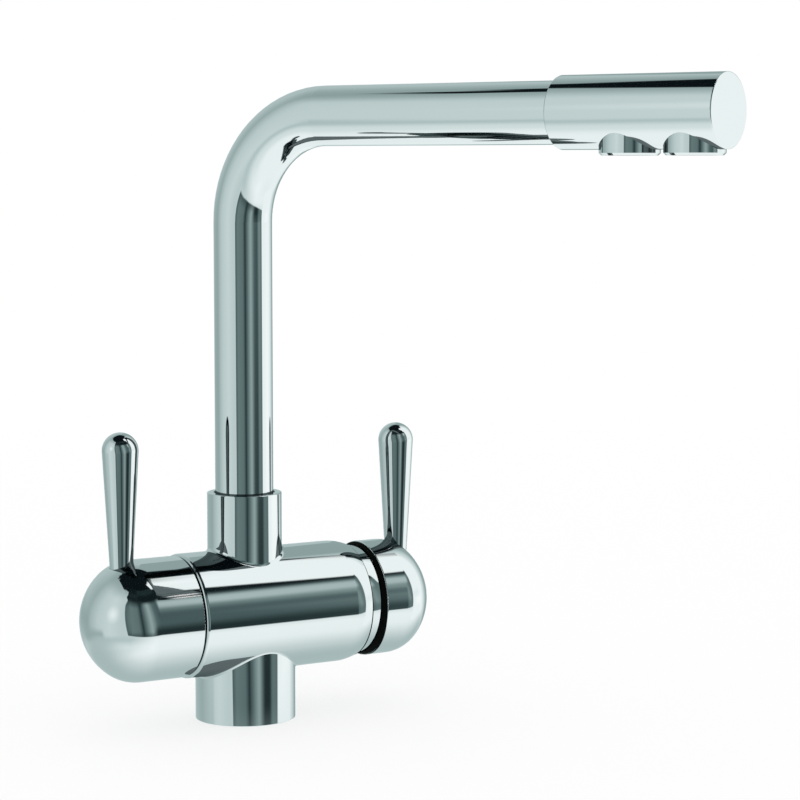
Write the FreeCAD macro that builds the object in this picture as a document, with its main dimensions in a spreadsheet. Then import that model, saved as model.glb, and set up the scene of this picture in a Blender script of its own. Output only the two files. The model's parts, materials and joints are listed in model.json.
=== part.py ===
"""Three-way kitchen tap: a swivelling L-shaped spout with two outlets stands on a barrel body.
The left end of the barrel turns to choose filtered water, the right end is a hot and cold mixer.

Millimetres. The origin is the middle of the base, on the worktop. +Z is up, +X runs along the
barrel to the mixer, and the user stands at -Y. The spout is drawn where the photograph has it,
swung a little to the right of straight ahead.
"""

import FreeCAD
import Part
import Sketcher

import math
import os
import re

Vector = FreeCAD.Vector
Rotation = FreeCAD.Rotation

# Driving sizes, millimetres and degrees
SIZES = {
    # clearances
    "run_gap": 0.05,
    "free_gap": 0.3,
    # body casting
    "barrel_radius": 27.7,
    "barrel_height": 48.9,
    "left_reach": 33.1,
    "right_reach": 51.5,
    "left_edge_round": 1.6,
    "shoulder_drop": 1.6,
    "shoulder_radius": 22.3,
    "pedestal_radius": 22.5,
    "pedestal_fillet": 1.4,
    "collar_wall": 2.95,
    "collar_top": 102.4,
    "collar_fillet": 1.8,
    "collar_edge": 0.4,
    "foot_edge": 0.4,
    "socket_depth": 23.9,
    "cartridge_bore": 20.0,
    "passage_radius": 3.0,
    "mixed_passage_offset": 8.0,
    # fixings under the base
    "stud_socket_radius": 4.0,
    "stud_socket_depth": 21.0,
    "hose_socket_radius": 5.0,
    "hose_socket_depth": 12.0,
    "hose_circle_radius": 11.0,
    "base_seal_radius": 18.6,
    "base_seal_section": 1.1,
    # spout
    "spout_turn": 23.5,
    "tube_radius": 13.0,
    "tube_wall": 1.5,
    "tube_depth": 6.4,
    "bend_radius": 46.3,
    "arm_height": 269.5,
    "head_start": 165.6,
    "head_wall": 2.05,
    "head_nose": 14.7,
    "head_socket_wall": 3.2,
    "head_edge": 0.4,
    "head_end_wall": 2.0,
    "hose_radius": 4.0,
    "hose_wall": 1.2,
    "hose_depth": 8.0,
    # spout foot
    "bush_wall": 0.7,
    "bush_length": 6.4,
    "stem_bore": 9.5,
    "spigot_length": 12.0,
    "spigot_wall": 1.6,
    "ring_section": 1.0,
    "ring_groove_width": 2.4,
    "lower_ring_rise": 3.0,
    "upper_ring_rise": 7.0,
    "stop_rise": 12.4,
    "stop_groove_width": 4.6,
    "stop_groove_depth": 1.7,
    "swing_each_way": 120.0,
    "stop_margin": 12.0,
    "stop_screw_radius": 2.5,
    "stop_tip_radius": 1.9,
    # outlets
    "outlet_radius": 12.4,
    "outlet_wall": 2.0,
    "outlet_drop": 2.3,
    "outlet_edge": 1.0,
    "outlet_lip": 1.0,
    "outlet_ceiling": 4.0,
    "washer_thickness": 1.0,
    "outlet_setback": 31.3,
    "outlet_spacing": 29.3,
    "aerator_height": 7.0,
    "aerator_plate": 1.6,
    "aerator_wall": 1.5,
    "spray_hole_radius": 0.75,
    "divider_thickness": 2.0,
    # levers
    "lever_length": 62.0,
    "lever_ball": 8.0,
    "lever_foot": 4.95,
    "stud_radius": 3.0,
    "stud_length": 10.0,
    # domed ends
    "dome_wall": 2.0,
    "rim_round": 0.4,
    "grub_radius": 2.5,
    "grub_length": 9.0,
    "left_rim_gap": 0.5,
    "left_dome_radius": 27.0,
    "left_skirt": 21.5,
    "left_crown": 23.5,
    "left_knuckle": 20.0,
    "left_cavity": 15.0,
    "left_socket": 8.0,
    "left_lever_setback": 27.4,
    "left_lever_seat": 21.6,
    "right_rim_gap": 2.0,
    "right_dome_radius": 26.4,
    "right_skirt": 10.7,
    "right_crown": 21.2,
    "right_knuckle": 17.0,
    "right_cavity": 9.0,
    "right_socket": 7.0,
    "right_lever_setback": 20.1,
    "right_lever_seat": 18.5,
    # filter selector inside the left end
    "gland_inset": 0.6,
    "gland_thickness": 5.5,
    "valve_shoulder": 2.2,
    "valve_neck_radius": 9.5,
    "valve_neck_proud": 3.0,
    "valve_chamber": 13.0,
    "spindle_radius": 4.0,
    "drive_plate": 3.0,
    "filter_disc": 3.0,
    "filter_seal": 2.5,
    # mixer inside the right end
    "seam_gap": 0.2,
    "cover_step": 1.1,
    "cover_width": 5.8,
    "cover_drop": 0.4,
    "gaiter_lip": 0.35,
    "gaiter_play": 0.15,
    "mixer_opening": 14.5,
    "clamp_thickness": 4.5,
    "housing_wall": 3.3,
    "housing_lip": 2.2,
    "housing_mouth": 12.0,
    "tilt_arm": 25.8,
    "carrier_front": 8.0,
    "carrier_back": 5.2,
    "carrier_slot": 17.0,
    "mixer_stem_radius": 4.0,
    "mixer_neck_radius": 1.8,
    "pivot_pin_radius": 2.0,
    "pivot_pin_length": 26.0,
    "ball_arm": 7.0,
    "ball_radius": 2.8,
    "slider_radius": 13.7,
    "slider_thickness": 5.2,
    "mixer_disc": 4.0,
    "mixer_seal": 2.5,
    "mixing_hollow": 8.4,
    # water ports of both valves
    "port_radius": 2.4,
}

# Places that several pieces share, in terms of the driving sizes
TUBE_BORE = "(tube_radius - tube_wall)"
TUBE_FOOT = "(collar_top - tube_depth)"
SOCKET_FLOOR = "(collar_top - socket_depth)"
SOCKET_BORE = "(tube_radius + run_gap)"
COLLAR_RADIUS = f"({SOCKET_BORE} + bush_wall + collar_wall)"
MAINS_REACH = "(head_start + outlet_setback)"
FILTER_REACH = f"({MAINS_REACH} + outlet_spacing)"
HEAD_RADIUS = "(tube_radius + run_gap + head_wall)"
HEAD_STEP = f"({MAINS_REACH} - outlet_radius - head_socket_wall)"
HEAD_END = f"({FILTER_REACH} + head_nose)"
TUBE_END = f"({HEAD_STEP} - free_gap)"
DIVIDER_REACH = f"({MAINS_REACH} + outlet_spacing / 2)"
OUTLET_BOTTOM = f"({HEAD_RADIUS} + outlet_drop)"
OUTLET_TOP = "(outlet_ceiling + washer_thickness)"
PORT_OFFSET = "(hose_circle_radius * sqrt(0.5))"
STOP_HEIGHT = f"({SOCKET_FLOOR} + free_gap + stop_rise)"

LEFT_RIM = "(left_reach + left_rim_gap)"
GLAND_TOP = "(left_reach - gland_inset)"
GLAND_SEAT = f"({GLAND_TOP} - gland_thickness)"
CHAMBER_TOP = f"({GLAND_SEAT} - valve_shoulder)"
DRIVE_TOP = f"({CHAMBER_TOP} - free_gap)"
FILTER_MOVING_TOP = f"({DRIVE_TOP} - drive_plate)"
FILTER_FIXED_TOP = f"({FILTER_MOVING_TOP} - filter_disc)"
FILTER_SEAL_TOP = f"({FILTER_FIXED_TOP} - filter_disc)"
LEFT_FLOOR = f"({FILTER_SEAL_TOP} - filter_seal)"

COVER_BACK = "(right_reach + seam_gap)"
COVER_FRONT = f"({COVER_BACK} + cover_width)"
COVER_RADIUS = "(barrel_radius - shoulder_drop - cover_step)"
RIGHT_RIM = f"({COVER_FRONT} + right_rim_gap)"
PIVOT = f"({RIGHT_RIM} - tilt_arm)"
CARRIER_TOP = f"({PIVOT} + carrier_front)"
CARRIER_FOOT = f"({PIVOT} - carrier_back)"
HOUSING_SHOULDER = f"({CARRIER_TOP} + free_gap)"
HOUSING_TOP = f"({HOUSING_SHOULDER} + housing_lip)"
CLAMP_TOP = f"({HOUSING_TOP} + clamp_thickness)"
SLIDER_TOP = f"({CARRIER_FOOT} - free_gap)"
MIXER_MOVING_TOP = f"({SLIDER_TOP} - slider_thickness)"
MIXER_FIXED_TOP = f"({MIXER_MOVING_TOP} - mixer_disc)"
MIXER_SEAL_TOP = f"({MIXER_FIXED_TOP} - mixer_disc)"
RIGHT_FLOOR = f"({MIXER_SEAL_TOP} - mixer_seal)"
HOUSING_BORE = "(cartridge_bore - run_gap - housing_wall)"

# The origin point of a sketch, as a constraint names it
SKETCH_ORIGIN = (-1, 1)

# How near a point is to a face that it counts as on
TOUCH = 0.01

UP = Vector(0, 0, 1)
TOWARDS_LEFT = Vector(-1, 0, 0)
TOWARDS_RIGHT = Vector(1, 0, 0)
# A piece on the barrel axis is drawn along its own +Z, outwards, with its own +X up
LEFTWARD = Rotation(UP, Vector(0, 1, 0), TOWARDS_LEFT)
RIGHTWARD = Rotation(UP, Vector(0, -1, 0), TOWARDS_RIGHT)

doc = FreeCAD.newDocument("tap")
sheet = doc.addObject("Spreadsheet::Sheet", "sizes")
nodes = []


def fill_sheet():
    """Writes each driving size into the sheet as a plain number with its name as alias."""
    for row, (name, size) in enumerate(SIZES.items(), start=1):
        sheet.set(f"A{row}", name)
        sheet.set(f"B{row}", str(size))
        sheet.setAlias(f"B{row}", name)
    doc.recompute()


def sized(expression):
    """The expression with each size name pointed at its cell in the sheet."""

    def cell(word):
        return f"sizes.{word[0]}" if word[0] in SIZES else word[0]

    return re.sub(r"[a-z]\w*", cell, expression)


def number(expression):
    """What an expression of sizes comes to now."""
    return float(sheet.evalExpression(sized(expression)))


def bind(thing, **properties):
    """Ties properties of a document object to expressions of sizes."""
    for name, expression in properties.items():
        thing.setExpression(name.replace("__", "."), sized(expression))


def bind_base(thing, prefix, place):
    """Ties the X, Y and Z of a placement's base to expressions of sizes."""
    for axis, expression in zip("xyz", place):
        if expression != "0":
            thing.setExpression(f"{prefix}.Base.{axis}", sized(expression))


# Placements


def upright(x="0", y="0", z="0"):
    """Places a piece with its axis vertical."""

    def place(thing):
        bind_base(thing, "Placement", (x, y, z))

    return place


def on_barrel(outwards):
    """Places a piece on the barrel's axis, drawn outwards from the middle of the tap."""

    def place(thing):
        thing.Placement = FreeCAD.Placement(Vector(), outwards)
        bind_base(thing, "Placement", ("0", "0", "barrel_height"))

    return place


def on_spout(reach="0", height="0"):
    """Places a piece on the spout, its own +X along the arm, at a reach along the arm."""
    turn = "(spout_turn + 270) * 1 deg"

    def place(thing):
        thing.Placement = FreeCAD.Placement(Vector(), Rotation(UP, number("spout_turn + 270")))
        thing.setExpression("Placement.Rotation.Angle", sized(turn))
        across = (f"{reach} * cos({turn})", f"{reach} * sin({turn})") if reach != "0" else ("0", "0")
        bind_base(thing, "Placement", (*across, height))

    return place


# Sketches


def corner(x, y, **edge):
    """A corner of an outline. The keywords describe the edge that arrives there from the corner before:
    turn (1 anticlockwise, -1 clockwise) makes it an arc, with a radius, or a centre on an axis;
    smooth makes it tangent to the edge before. A coordinate that tangency settles is given as guess_x
    or guess_y, with None as its expression."""
    return dict(edge, x=x, y=y)


def hold(sketch, edge, vertex, x, y):
    """Ties a point of a sketch to its distances from the sketch's axes."""
    horizontal_axis = -1
    vertical_axis = -2
    for kind, axis, expression in (("DistanceX", vertical_axis, x), ("DistanceY", horizontal_axis, y)):
        if expression == "0":
            sketch.addConstraint(Sketcher.Constraint("PointOnObject", edge, vertex, axis))
        elif expression is not None:
            held = Sketcher.Constraint(kind, *SKETCH_ORIGIN, edge, vertex, number(expression))
            index = sketch.addConstraint(held)
            sketch.setExpression(f"Constraints[{index}]", sized(expression))


def hold_radius(sketch, edge, radius):
    """Ties the radius of an arc or a circle."""
    index = sketch.addConstraint(Sketcher.Constraint("Radius", edge, number(radius)))
    sketch.setExpression(f"Constraints[{index}]", sized(radius))


def arc_centre(start, end, radius, turn):
    """The centre of the arc under half a circle that runs from start to end."""
    chord = end - start
    rise = math.sqrt(max(radius**2 - (chord.Length / 2) ** 2, 0))
    across = Vector(-chord.y, chord.x, 0).normalize()
    return start + chord * 0.5 + across * (turn * rise)


def add_edge(sketch, start, end, step):
    """Adds one edge and gives its index with the numbers of its first and last vertex."""
    if "turn" not in step:
        return sketch.addGeometry(Part.LineSegment(start, end)), 1, 2
    if "guess_centre" in step:
        centre = step["guess_centre"]
    else:
        centre = arc_centre(start, end, number(step["radius"]), step["turn"])
    first, last = (start, end) if step["turn"] > 0 else (end, start)
    circle = Part.Circle(centre, UP, (start - centre).Length)
    angles = [math.atan2(p.y - centre.y, p.x - centre.x) for p in (first, last)]
    index = sketch.addGeometry(Part.ArcOfCircle(circle, *angles))
    return (index, 1, 2) if step["turn"] > 0 else (index, 2, 1)


def draw(sketch, steps, closed=True):
    """Draws an outline through its corners and ties it to the sizes."""
    points = []
    for step in steps:
        x = step["guess_x"] if step["x"] is None else number(step["x"])
        y = step["guess_y"] if step["y"] is None else number(step["y"])
        points.append(Vector(x, y, 0))
    pairs = range(len(steps)) if closed else range(1, len(steps))
    edges = {i: add_edge(sketch, points[i - 1], points[i], steps[i]) for i in pairs}
    for i in pairs:
        before = edges.get(i - 1 if i else len(steps) - 1)
        edge, first, last = edges[i]
        if before:
            joint = "Tangent" if steps[i].get("smooth") else "Coincident"
            sketch.addConstraint(Sketcher.Constraint(joint, before[0], before[2], edge, first))
        else:
            hold(sketch, edge, first, steps[i - 1]["x"], steps[i - 1]["y"])
        hold(sketch, edge, last, steps[i]["x"], steps[i]["y"])
        if "radius" in steps[i]:
            hold_radius(sketch, edge, steps[i]["radius"])
        if "centre" in steps[i]:
            hold(sketch, edge, 3, *steps[i]["centre"])


def circle(sketch, radius, x="0", y="0"):
    """Adds a circle tied to its centre and radius."""
    middle = Vector(number(x), number(y), 0)
    edge = sketch.addGeometry(Part.Circle(middle, UP, number(radius)))
    if (x, y) == ("0", "0"):
        sketch.addConstraint(Sketcher.Constraint("Coincident", edge, 3, *SKETCH_ORIGIN))
    else:
        hold(sketch, edge, 3, x, y)
    hold_radius(sketch, edge, radius)


# Bodies and features


def new_body(label, place):
    """A named body, put in its place, that is written out as one node."""
    body = doc.addObject("PartDesign::Body", label)
    body.Label = label
    place(body)
    nodes.append(body)
    return body


def new_sketch(body, name, plane="XZ_Plane", shift=("0", "0", "0")):
    """A sketch on one of the body's own planes, moved by a shift in the sketch's own axes."""
    sketch = body.newObject("Sketcher::SketchObject", f"{body.Label}_{name}")
    support = next(feature for feature in body.Origin.OriginFeatures if feature.Role == plane)
    sketch.AttachmentSupport = [(support, "")]
    sketch.MapMode = "FlatFace"
    bind_base(sketch, "AttachmentOffset", shift)
    return sketch


def revolve(body, name, steps, axis="V_Axis", kind="Revolution", shift=("0", "0", "0")):
    """Turns an outline round an axis of its sketch, to add to the body or, as a Groove, to cut it."""
    sketch = new_sketch(body, f"{name}_outline", shift=shift)
    draw(sketch, steps)
    feature = body.newObject(f"PartDesign::{kind}", f"{body.Label}_{name}")
    feature.Profile = sketch
    feature.ReferenceAxis = (sketch, [axis])
    feature.Angle = 360
    return feature


def turned(label, place, points):
    """A body turned round its own Z axis, from corners given as radius and height."""
    body = new_body(label, place)
    steps = [point if isinstance(point, dict) else corner(*point) for point in points]
    revolve(body, "turning", steps)
    return body


def ring(label, place, inner, outer, bottom, top):
    """A plain turned ring, or a disc where the inner radius is 0."""
    return turned(label, place, [(inner, bottom), (outer, bottom), (outer, top), (inner, top)])


def primitive(body, kind, name, at, towards, **sizes):
    """A cylinder or cone that is added to a body or cut from it, from a point in a direction."""
    feature = body.newObject(f"PartDesign::{kind}", f"{body.Label}_{name}")
    feature.Placement = FreeCAD.Placement(Vector(), Rotation(UP, towards))
    bind_base(feature, "Placement", at)
    bind(feature, **sizes)
    return feature


def drill(body, name, radius, depth, at, towards):
    """Drills a round hole into a body."""
    return primitive(body, "SubtractiveCylinder", name, at, towards, Radius=radius, Height=depth)


def key_socket(body, screw_radius, depth, at, towards):
    """A hexagon socket in the end of a grub screw, as wide across its flats as the screw's radius."""
    sizes = {"Circumradius": f"{screw_radius} / sqrt(3)", "Height": depth}
    socket = primitive(body, "SubtractivePrism", "key_socket", at, towards, **sizes)
    socket.Polygon = 6


def pattern(body, feature, count):
    """Repeats a feature evenly round the body's own Z axis."""
    axis = next(item for item in body.Origin.OriginFeatures if item.Role == "Z_Axis")
    repeated = body.newObject("PartDesign::PolarPattern", f"{feature.Name}_ring")
    repeated.Originals = [feature]
    repeated.Axis = (axis, [""])
    repeated.Angle = 360
    repeated.Occurrences = count
    body.Tip = repeated


def fillet(body, name, feature, radius, on_edge):
    """Rounds the edges of a feature whose points all pass a test."""
    doc.recompute()
    edges = []
    for index, edge in enumerate(feature.Shape.Edges, start=1):
        if all(on_edge(point) for point in edge.discretize(7)):
            edges.append(f"Edge{index}")
    rounded = body.newObject("PartDesign::Fillet", f"{body.Label}_{name}")
    rounded.Base = (feature, edges)
    bind(rounded, Radius=radius)
    return rounded


def compound(label, pieces):
    """Groups separate solids of one kind as one node."""
    group = doc.addObject("Part::Compound", label)
    group.Label = label
    group.Links = pieces
    nodes.append(group)


def torus(name, place, radius, section, height):
    """A round-section ring about a vertical axis."""
    seal = doc.addObject("Part::Torus", name)
    place(seal)
    bind(seal, Radius1=radius, Radius2=section)
    bind(seal, Placement__Base__z=height)
    return seal


# Body casting


def barrel_outline():
    """Half the barrel's section: a rounded left end and a long soft shoulder on the right."""
    shoulder_run = "sqrt(2 * shoulder_radius * shoulder_drop - shoulder_drop * shoulder_drop)"
    return [
        corner("-left_reach", "0"),
        corner("-left_reach", "barrel_radius - left_edge_round"),
        corner("left_edge_round - left_reach", "barrel_radius", turn=-1, radius="left_edge_round"),
        corner(f"right_reach - {shoulder_run}", "barrel_radius"),
        corner("right_reach", "barrel_radius - shoulder_drop", turn=-1, radius="shoulder_radius"),
        corner("right_reach", "0"),
    ]


def on_both(vertical_radius, above):
    """A test for points where a vertical cylinder meets the barrel, above or below the barrel's axis."""
    height = number("barrel_height")
    barrel = number("barrel_radius")

    def test(point):
        on_vertical = abs(math.hypot(point.x, point.y) - vertical_radius) < TOUCH
        on_barrel_skin = abs(math.hypot(point.y, point.z - height) - barrel) < TOUCH
        return on_vertical and on_barrel_skin and (point.z > height) == above

    return test


def on_rim(vertical_radius, height):
    """A test for points on the rim of a vertical cylinder, at a height."""

    def test(point):
        on_vertical = abs(math.hypot(point.x, point.y) - vertical_radius) < TOUCH
        return on_vertical and abs(point.z - height) < TOUCH

    return test


def bore_cartridge(body, side, towards, floor, reach):
    """Bores one end of the barrel for a cartridge, down to its floor."""
    sign = "-" if towards is TOWARDS_LEFT else ""
    at = (f"{sign}{floor}", "0", "barrel_height")
    drill(body, f"{side}_bore", "cartridge_bore", f"{reach} - {floor} + free_gap", at, towards)


def drill_inlets(body):
    """Four hose sockets under the base, each with a passage up and across to a cartridge's floor."""
    high = f"barrel_height + {PORT_OFFSET}"
    sides = (
        ("left", "-", TOWARDS_LEFT, LEFT_FLOOR, "barrel_height"),
        ("right", "", TOWARDS_RIGHT, RIGHT_FLOOR, high),
    )
    for side, x_sign, towards, floor, height in sides:
        for place, y_sign in (("front", "-"), ("rear", "")):
            x = f"{x_sign}{PORT_OFFSET}"
            y = f"{y_sign}{PORT_OFFSET}"
            name = f"{side}_{place}"
            drill(body, f"{name}_socket", "hose_socket_radius", "hose_socket_depth", (x, y, "0"), UP)
            drill(body, f"{name}_riser", "passage_radius", height, (x, y, "0"), UP)
            across = f"{floor} - {PORT_OFFSET} + free_gap"
            drill(body, f"{name}_port", "passage_radius", across, (x, y, height), towards)


def drill_outlets(body):
    """Passages from the middles of the two cartridges' floors up into the spout's socket."""
    rise = f"{SOCKET_FLOOR} - barrel_height + free_gap"
    middle = ("0", "0", "barrel_height")
    drill(body, "filter_riser", "hose_radius + run_gap", rise, middle, UP)
    drill(body, "filter_port", "passage_radius", f"{LEFT_FLOOR} + free_gap", middle, TOWARDS_LEFT)
    mixed = ("mixed_passage_offset", "0", "barrel_height")
    drill(body, "mixed_riser", "passage_radius", rise, mixed, UP)
    across = f"{RIGHT_FLOOR} - mixed_passage_offset + free_gap"
    drill(body, "mixed_port", "passage_radius", across, mixed, TOWARDS_RIGHT)


def seal_groove(body):
    """The ring groove under the base."""
    inner = "base_seal_radius - base_seal_section - run_gap"
    outer = "base_seal_radius + base_seal_section + run_gap"
    top = "2 * base_seal_section"
    steps = [corner(inner, "0"), corner(outer, "0"), corner(outer, top), corner(inner, top)]
    revolve(body, "seal_groove", steps, kind="Groove")


def main_body():
    """One casting: barrel, collar for the spout and pedestal, with its bores and passages."""
    body = new_body("main_body", upright())
    revolve(body, "barrel", barrel_outline(), axis="H_Axis", shift=("0", "barrel_height", "0"))
    collar = {"Radius": COLLAR_RADIUS, "Height": "collar_top - barrel_height"}
    primitive(body, "AdditiveCylinder", "collar", ("0", "0", "barrel_height"), UP, **collar)
    pedestal = {"Radius": "pedestal_radius", "Height": "barrel_height"}
    whole = primitive(body, "AdditiveCylinder", "pedestal", ("0", "0", "0"), UP, **pedestal)
    collar_radius = number(COLLAR_RADIUS)
    pedestal_radius = number("pedestal_radius")
    rounds = {
        "collar_fillet": on_both(collar_radius, True),
        "pedestal_fillet": on_both(pedestal_radius, False),
        "collar_edge": on_rim(collar_radius, number("collar_top")),
        "foot_edge": on_rim(pedestal_radius, 0),
    }
    for size, on_edge in rounds.items():
        whole = fillet(body, size, whole, size, on_edge)
    bore_cartridge(body, "left", TOWARDS_LEFT, LEFT_FLOOR, "left_reach")
    bore_cartridge(body, "right", TOWARDS_RIGHT, RIGHT_FLOOR, "right_reach")
    drill(body, "spout_socket", SOCKET_BORE, "socket_depth + free_gap", ("0", "0", SOCKET_FLOOR), UP)
    bush_bore = f"{SOCKET_BORE} + bush_wall"
    bush_seat = ("0", "0", "collar_top - bush_length")
    drill(body, "bush_seat", bush_bore, "bush_length + free_gap", bush_seat, UP)
    screw_hole = "stop_screw_radius + run_gap"
    drill(body, "stop_screw_hole", screw_hole, COLLAR_RADIUS, ("0", "0", STOP_HEIGHT), Vector(0, 1, 0))
    drill_inlets(body)
    drill(body, "stud_socket", "stud_socket_radius", "stud_socket_depth", ("0", "0", "0"), UP)
    drill_outlets(body)
    seal_groove(body)


def base_seal():
    """The ring seal under the base, flush with the worktop."""
    seal = torus("base_seal", upright(), "base_seal_radius", "base_seal_section", "base_seal_section")
    seal.Label = "base_seal"
    nodes.append(seal)


# Spout foot


def spout_bush():
    """The thin slip sleeve between the collar and the tube, flush with the collar's top."""
    foot = "collar_top - bush_length"
    ring("spout_bush", upright(), SOCKET_BORE, f"{SOCKET_BORE} + bush_wall", foot, "collar_top")


def spout_stop_screw():
    """The grub screw behind the collar. Its tip runs in the stem's groove and stops the spout's swing."""
    body = new_body("spout_stop_screw", upright(z=STOP_HEIGHT))
    tip = "tube_radius - stop_groove_depth + free_gap"
    shank = "tube_radius + 2 * free_gap"
    behind = Vector(0, 1, 0)
    tip_sizes = {"Radius": "stop_tip_radius", "Height": f"{shank} - ({tip})"}
    primitive(body, "AdditiveCylinder", "tip", ("0", tip, "0"), behind, **tip_sizes)
    shank_sizes = {"Radius": "stop_screw_radius", "Height": f"{COLLAR_RADIUS} - free_gap - ({shank})"}
    primitive(body, "AdditiveCylinder", "shank", ("0", shank, "0"), behind, **shank_sizes)
    key_depth = "stop_screw_radius / 2"
    mouth = ("0", f"{COLLAR_RADIUS} - free_gap - {key_depth}", "0")
    key_socket(body, "stop_screw_radius", key_depth, mouth, behind)


def groove_steps(middle):
    """Corners of one sealing groove round the stem, at a height above its foot."""
    floor = "tube_radius - 2 * ring_section"
    below = f"{middle} - ring_groove_width / 2"
    above = f"{middle} + ring_groove_width / 2"
    return [("tube_radius", below), (floor, below), (floor, above), ("tube_radius", above)]


def spout_stem():
    """The swivel foot of the spout: two ring grooves, the stop groove, and a spigot inside the tube."""
    height = f"{TUBE_FOOT} - {SOCKET_FLOOR} - free_gap"
    spigot = f"{TUBE_BORE} - run_gap"
    bore = f"{spigot} - spigot_wall"
    points = [("stem_bore", "0"), ("tube_radius", "0")]
    points += groove_steps("lower_ring_rise")
    points += groove_steps("upper_ring_rise")
    points += [("tube_radius", height), (spigot, height), (spigot, f"{height} + spigot_length")]
    points += [(bore, f"{height} + spigot_length"), (bore, height), ("stem_bore", height)]
    body = turned("spout_stem", on_spout(height=f"{SOCKET_FLOOR} + free_gap"), points)
    stop_groove(body)


def stop_groove(body):
    """The groove at the back of the stem, as long as the spout may swing."""
    deep = "-(tube_radius - stop_groove_depth)"
    open_side = "-(tube_radius + free_gap)"
    below = "stop_rise - stop_groove_width / 2"
    above = "stop_rise + stop_groove_width / 2"
    steps = [corner(open_side, below), corner(deep, below), corner(deep, above), corner(open_side, above)]
    groove = revolve(body, "stop_groove", steps, kind="Groove")
    groove.Midplane = True
    bind(groove, Angle="2 * (swing_each_way + stop_margin)")


def stem_rings():
    """The two sealing rings round the stem."""
    rings = []
    for name, rise in (("lower_ring", "lower_ring_rise"), ("upper_ring", "upper_ring_rise")):
        height = f"{SOCKET_FLOOR} + free_gap + {rise}"
        rings.append(torus(name, on_spout(), "tube_radius - ring_section", "ring_section", height))
    compound("stem_rings", rings)


# Spout tube and head


def bent_pipe(label, outer, inner, foot, end):
    """A round pipe that stands on a foot height, bends through a right angle and runs out along the arm."""
    body = new_body(label, on_spout())
    spine = new_sketch(body, "route")
    steps = [
        corner("0", foot),
        corner("0", "arm_height - bend_radius"),
        corner("bend_radius", "arm_height", turn=-1, radius="bend_radius"),
        corner(end, "arm_height"),
    ]
    draw(spine, steps, closed=False)
    section = new_sketch(body, "section", plane="XY_Plane", shift=("0", "0", foot))
    circle(section, outer)
    circle(section, inner)
    doc.recompute()
    pipe = body.newObject("PartDesign::AdditivePipe", f"{label}_pipe")
    pipe.Profile = section
    pipe.Spine = spine
    return body


def spout_head():
    """The thicker sleeve on the end of the arm, bored for the tube and open below for two outlets."""
    body = new_body("spout_head", on_spout())
    socket = "tube_radius + run_gap"
    inside = f"{HEAD_END} - head_end_wall"
    steps = [
        corner("head_start", socket),
        corner("head_start", f"{HEAD_RADIUS} - head_edge"),
        corner("head_start + head_edge", HEAD_RADIUS, turn=-1, radius="head_edge"),
        corner(f"{HEAD_END} - head_edge", HEAD_RADIUS),
        corner(HEAD_END, f"{HEAD_RADIUS} - head_edge", turn=-1, radius="head_edge"),
        corner(HEAD_END, "0"),
        corner(inside, "0"),
        corner(inside, TUBE_BORE),
        corner(HEAD_STEP, TUBE_BORE),
        corner(HEAD_STEP, socket),
    ]
    revolve(body, "sleeve", steps, axis="H_Axis", shift=("0", "arm_height", "0"))
    for name, reach in (("mains", MAINS_REACH), ("filter", FILTER_REACH)):
        at = (reach, "0", f"arm_height - 2 * {HEAD_RADIUS}")
        depth = f"2 * {HEAD_RADIUS} - outlet_ceiling"
        drill(body, f"{name}_seat", "outlet_radius + run_gap", depth, at, UP)


def outlet(label, reach):
    """A screwed-in outlet ring that keeps its aerator on an inner lip."""
    bore = "outlet_radius - outlet_wall"
    lip = f"{bore} - outlet_lip"
    top = f"-{OUTLET_TOP}"
    bottom = f"-{OUTLET_BOTTOM}"
    points = [
        (lip, bottom),
        ("outlet_radius - outlet_edge", bottom),
        ("outlet_radius", f"{bottom} + outlet_edge"),
        ("outlet_radius", top),
        (bore, top),
        (bore, f"{bottom} + outlet_lip"),
        (lip, f"{bottom} + outlet_lip"),
    ]
    turned(label, on_spout(reach, "arm_height"), points)


def aerator(label, reach):
    """A cup with a plate of spray holes, resting on the outlet's lip."""
    outer = "outlet_radius - outlet_wall - run_gap"
    inner = f"{outer} - aerator_wall"
    foot = f"outlet_lip - {OUTLET_BOTTOM}"
    plate = f"{foot} + aerator_plate"
    points = [
        ("0", foot),
        (outer, foot),
        (outer, f"{foot} + aerator_height"),
        (inner, f"{foot} + aerator_height"),
        (inner, plate),
        ("0", plate),
    ]
    body = turned(label, on_spout(reach, "arm_height"), points)
    depth = "aerator_plate + 2 * free_gap"
    low = f"{foot} - free_gap"
    drill(body, "middle_hole", "spray_hole_radius", depth, ("0", "0", low), UP)
    spray_rows = (("inner", f"({inner}) / 3", 6), ("outer", f"({inner}) * 2 / 3", 12))
    for name, row_radius, count in spray_rows:
        hole = drill(body, f"{name}_hole", "spray_hole_radius", depth, (row_radius, "0", low), UP)
        pattern(body, hole, count)


def outlet_washers():
    """A flat washer above each outlet ring."""
    washers = []
    for name, reach in (("mains_washer", MAINS_REACH), ("filter_washer", FILTER_REACH)):
        place = on_spout(reach, "arm_height")
        inner = "outlet_radius - outlet_wall"
        body = ring(name, place, inner, "outlet_radius", f"-{OUTLET_TOP}", "-outlet_ceiling")
        nodes.remove(body)
        washers.append(body)
    compound("outlet_washers", washers)


def flow_divider():
    """The disc inside the head that keeps filtered water apart, with the hose through it."""
    body = new_body("flow_divider", on_spout())
    near = f"{DIVIDER_REACH} - divider_thickness / 2"
    far = f"{DIVIDER_REACH} + divider_thickness / 2"
    hole = "hose_radius + run_gap"
    edge = f"{TUBE_BORE} - run_gap"
    steps = [corner(near, hole), corner(near, edge), corner(far, edge), corner(far, hole)]
    revolve(body, "disc", steps, axis="H_Axis", shift=("0", "arm_height", "0"))


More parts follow.
